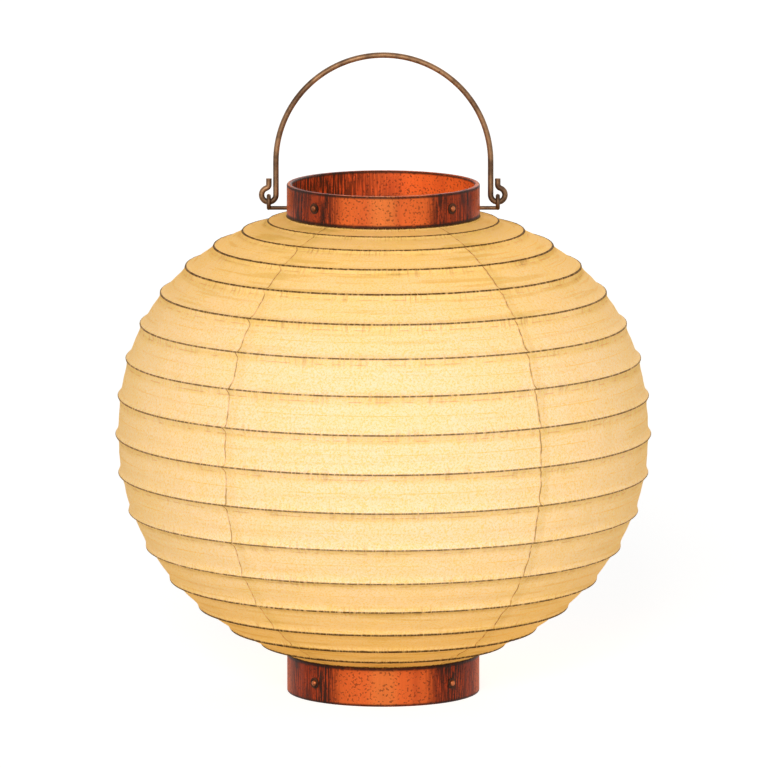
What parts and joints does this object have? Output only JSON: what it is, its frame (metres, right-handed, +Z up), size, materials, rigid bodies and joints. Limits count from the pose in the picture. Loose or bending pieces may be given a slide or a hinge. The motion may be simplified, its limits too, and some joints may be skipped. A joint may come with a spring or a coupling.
{
  "type": "round paper lantern",
  "caption": "Round folding washi paper lantern with lacquered wooden collars, wire bail on two eyes, bamboo hoops and an inner candle spike.",
  "frame": {"origin": "centre of the lower collar's bottom rim, on the surface that the lantern stands on", "axes": "+Z up along the lantern's axis, +X towards the right bail eye, -Y the front, half-way between two gore seams"},
  "size_m": [0.303, 0.3029, 0.3649],
  "materials": {
    "washi": "warm cream handmade paper, translucent, matte, amber towards the folds",
    "bamboo": "split bamboo, plain",
    "collar_lacquer": "vermilion lacquer over wood, streaked dark, worn edges",
    "plain_wood": "plain softwood, oiled",
    "nail_brass": "dark aged brass",
    "tinplate": "dull tinplate",
    "iron": "blackened iron",
    "thread": "waxed cotton thread",
    "bail_bronze": "drawn bronze wire, dark patina with bright wear",
    "wax": "vegetable wax, satin",
    "wick": "rolled paper and rush wick"
  },
  "bodies": {
    "base": {"lower_collar": "collar_lacquer", "lower_mouth_hoop": "bamboo", "floor_board": "plain_wood", "floor_nails": "nail_brass", "floor_nail_washers": "nail_brass", "drip_pan": "tinplate", "candle_spike": "iron", "paper_gore_1": "washi", "paper_gore_2": "washi", "paper_gore_3": "washi", "paper_gore_4": "washi", "paper_gore_5": "washi", "spacing_threads": "thread"},
    "crown": {"upper_collar": "collar_lacquer", "upper_mouth_hoop": "bamboo", "upper_collar_tacks": "nail_brass", "upper_tack_washers": "nail_brass", "bail_eye_left": "bail_bronze", "bail_eye_right": "bail_bronze"},
    "bail": {"bail": "bail_bronze"},
    "candle": {"candle": "wax", "candle_wick": "wick"},
    "hoop_01": {"hoop_01": "bamboo"},
    "hoop_02": {"hoop_02": "bamboo"},
    "hoop_03": {"hoop_03": "bamboo"},
    "hoop_04": {"hoop_04": "bamboo"},
    "hoop_05": {"hoop_05": "bamboo"},
    "hoop_06": {"hoop_06": "bamboo"},
    "hoop_07": {"hoop_07": "bamboo"},
    "hoop_08": {"hoop_08": "bamboo"},
    "hoop_09": {"hoop_09": "bamboo"},
    "hoop_10": {"hoop_10": "bamboo"},
    "hoop_11": {"hoop_11": "bamboo"},
    "hoop_12": {"hoop_12": "bamboo"},
    "hoop_13": {"hoop_13": "bamboo"},
    "hoop_14": {"hoop_14": "bamboo"},
    "hoop_15": {"hoop_15": "bamboo"},
    "hoop_16": {"hoop_16": "bamboo"}
  },
  "joints": [
    {"name": "globe_fold", "type": "slide", "parent": "base", "child": "crown", "axis": [0, 0, 1], "range_m": [-0.21281, 0], "deforming": ["paper_gore_1", "paper_gore_2", "paper_gore_3", "paper_gore_4", "paper_gore_5", "spacing_threads"]},
    {"name": "bail_swing", "type": "hinge", "parent": "crown", "child": "bail", "pos_m": [0, 0, 0.27976], "axis": [1, 0, 0], "range_deg": [-90, 90]},
    {"name": "candle_lift", "type": "slide", "parent": "base", "child": "candle", "axis": [0, 0, 1], "range_m": [0, 0.2]},
    {"name": "hoop_01_fold", "type": "slide", "parent": "base", "child": "hoop_01", "axis": [0, 0, 1], "range_m": [-0.20935, 0]},
    {"name": "hoop_02_fold", "type": "slide", "parent": "base", "child": "hoop_02", "axis": [0, 0, 1], "range_m": [-0.20471, 0]},
    {"name": "hoop_03_fold", "type": "slide", "parent": "base", "child": "hoop_03", "axis": [0, 0, 1], "range_m": [-0.19755, 0]},
    {"name": "hoop_04_fold", "type": "slide", "parent": "base", "child": "hoop_04", "axis": [0, 0, 1], "range_m": [-0.18771, 0]},
    {"name": "hoop_05_fold", "type": "slide", "parent": "base", "child": "hoop_05", "axis": [0, 0, 1], "range_m": [-0.17527, 0]},
    {"name": "hoop_06_fold", "type": "slide", "parent": "base", "child": "hoop_06", "axis": [0, 0, 1], "range_m": [-0.16045, 0]},
    {"name": "hoop_07_fold", "type": "slide", "parent": "base", "child": "hoop_07", "axis": [0, 0, 1], "range_m": [-0.14385, 0]},
    {"name": "hoop_08_fold", "type": "slide", "parent": "base", "child": "hoop_08", "axis": [0, 0, 1], "range_m": [-0.126, 0]},
    {"name": "hoop_09_fold", "type": "slide", "parent": "base", "child": "hoop_09", "axis": [0, 0, 1], "range_m": [-0.10748, 0]},
    {"name": "hoop_10_fold", "type": "slide", "parent": "base", "child": "hoop_10", "axis": [0, 0, 1], "range_m": [-0.08894, 0]},
    {"name": "hoop_11_fold", "type": "slide", "parent": "base", "child": "hoop_11", "axis": [0, 0, 1], "range_m": [-0.07067, 0]},
    {"name": "hoop_12_fold", "type": "slide", "parent": "base", "child": "hoop_12", "axis": [0, 0, 1], "range_m": [-0.05344, 0]},
    {"name": "hoop_13_fold", "type": "slide", "parent": "base", "child": "hoop_13", "axis": [0, 0, 1], "range_m": [-0.0379, 0]},
    {"name": "hoop_14_fold", "type": "slide", "parent": "base", "child": "hoop_14", "axis": [0, 0, 1], "range_m": [-0.02466, 0]},
    {"name": "hoop_15_fold", "type": "slide", "parent": "base", "child": "hoop_15", "axis": [0, 0, 1], "range_m": [-0.01416, 0]},
    {"name": "hoop_16_fold", "type": "slide", "parent": "base", "child": "hoop_16", "axis": [0, 0, 1], "range_m": [-0.00658, 0]}
  ],
  "couplings": [
    {"joint": "hoop_01_fold", "follows": "globe_fold", "ratio": 0.98141},
    {"joint": "hoop_02_fold", "follows": "globe_fold", "ratio": 0.95958},
    {"joint": "hoop_03_fold", "follows": "globe_fold", "ratio": 0.92596},
    {"joint": "hoop_04_fold", "follows": "globe_fold", "ratio": 0.87969},
    {"joint": "hoop_05_fold", "follows": "globe_fold", "ratio": 0.82123},
    {"joint": "hoop_06_fold", "follows": "globe_fold", "ratio": 0.7516},
    {"joint": "hoop_07_fold", "follows": "globe_fold", "ratio": 0.67359},
    {"joint": "hoop_08_fold", "follows": "globe_fold", "ratio": 0.58971},
    {"joint": "hoop_09_fold", "follows": "globe_fold", "ratio": 0.50271},
    {"joint": "hoop_10_fold", "follows": "globe_fold", "ratio": 0.41556},
    {"joint": "hoop_11_fold", "follows": "globe_fold", "ratio": 0.32973},
    {"joint": "hoop_12_fold", "follows": "globe_fold", "ratio": 0.24875},
    {"joint": "hoop_13_fold", "follows": "globe_fold", "ratio": 0.17575},
    {"joint": "hoop_14_fold", "follows": "globe_fold", "ratio": 0.11352},
    {"joint": "hoop_15_fold", "follows": "globe_fold", "ratio": 0.064177},
    {"joint": "hoop_16_fold", "follows": "globe_fold", "ratio": 0.028576}
  ]
}
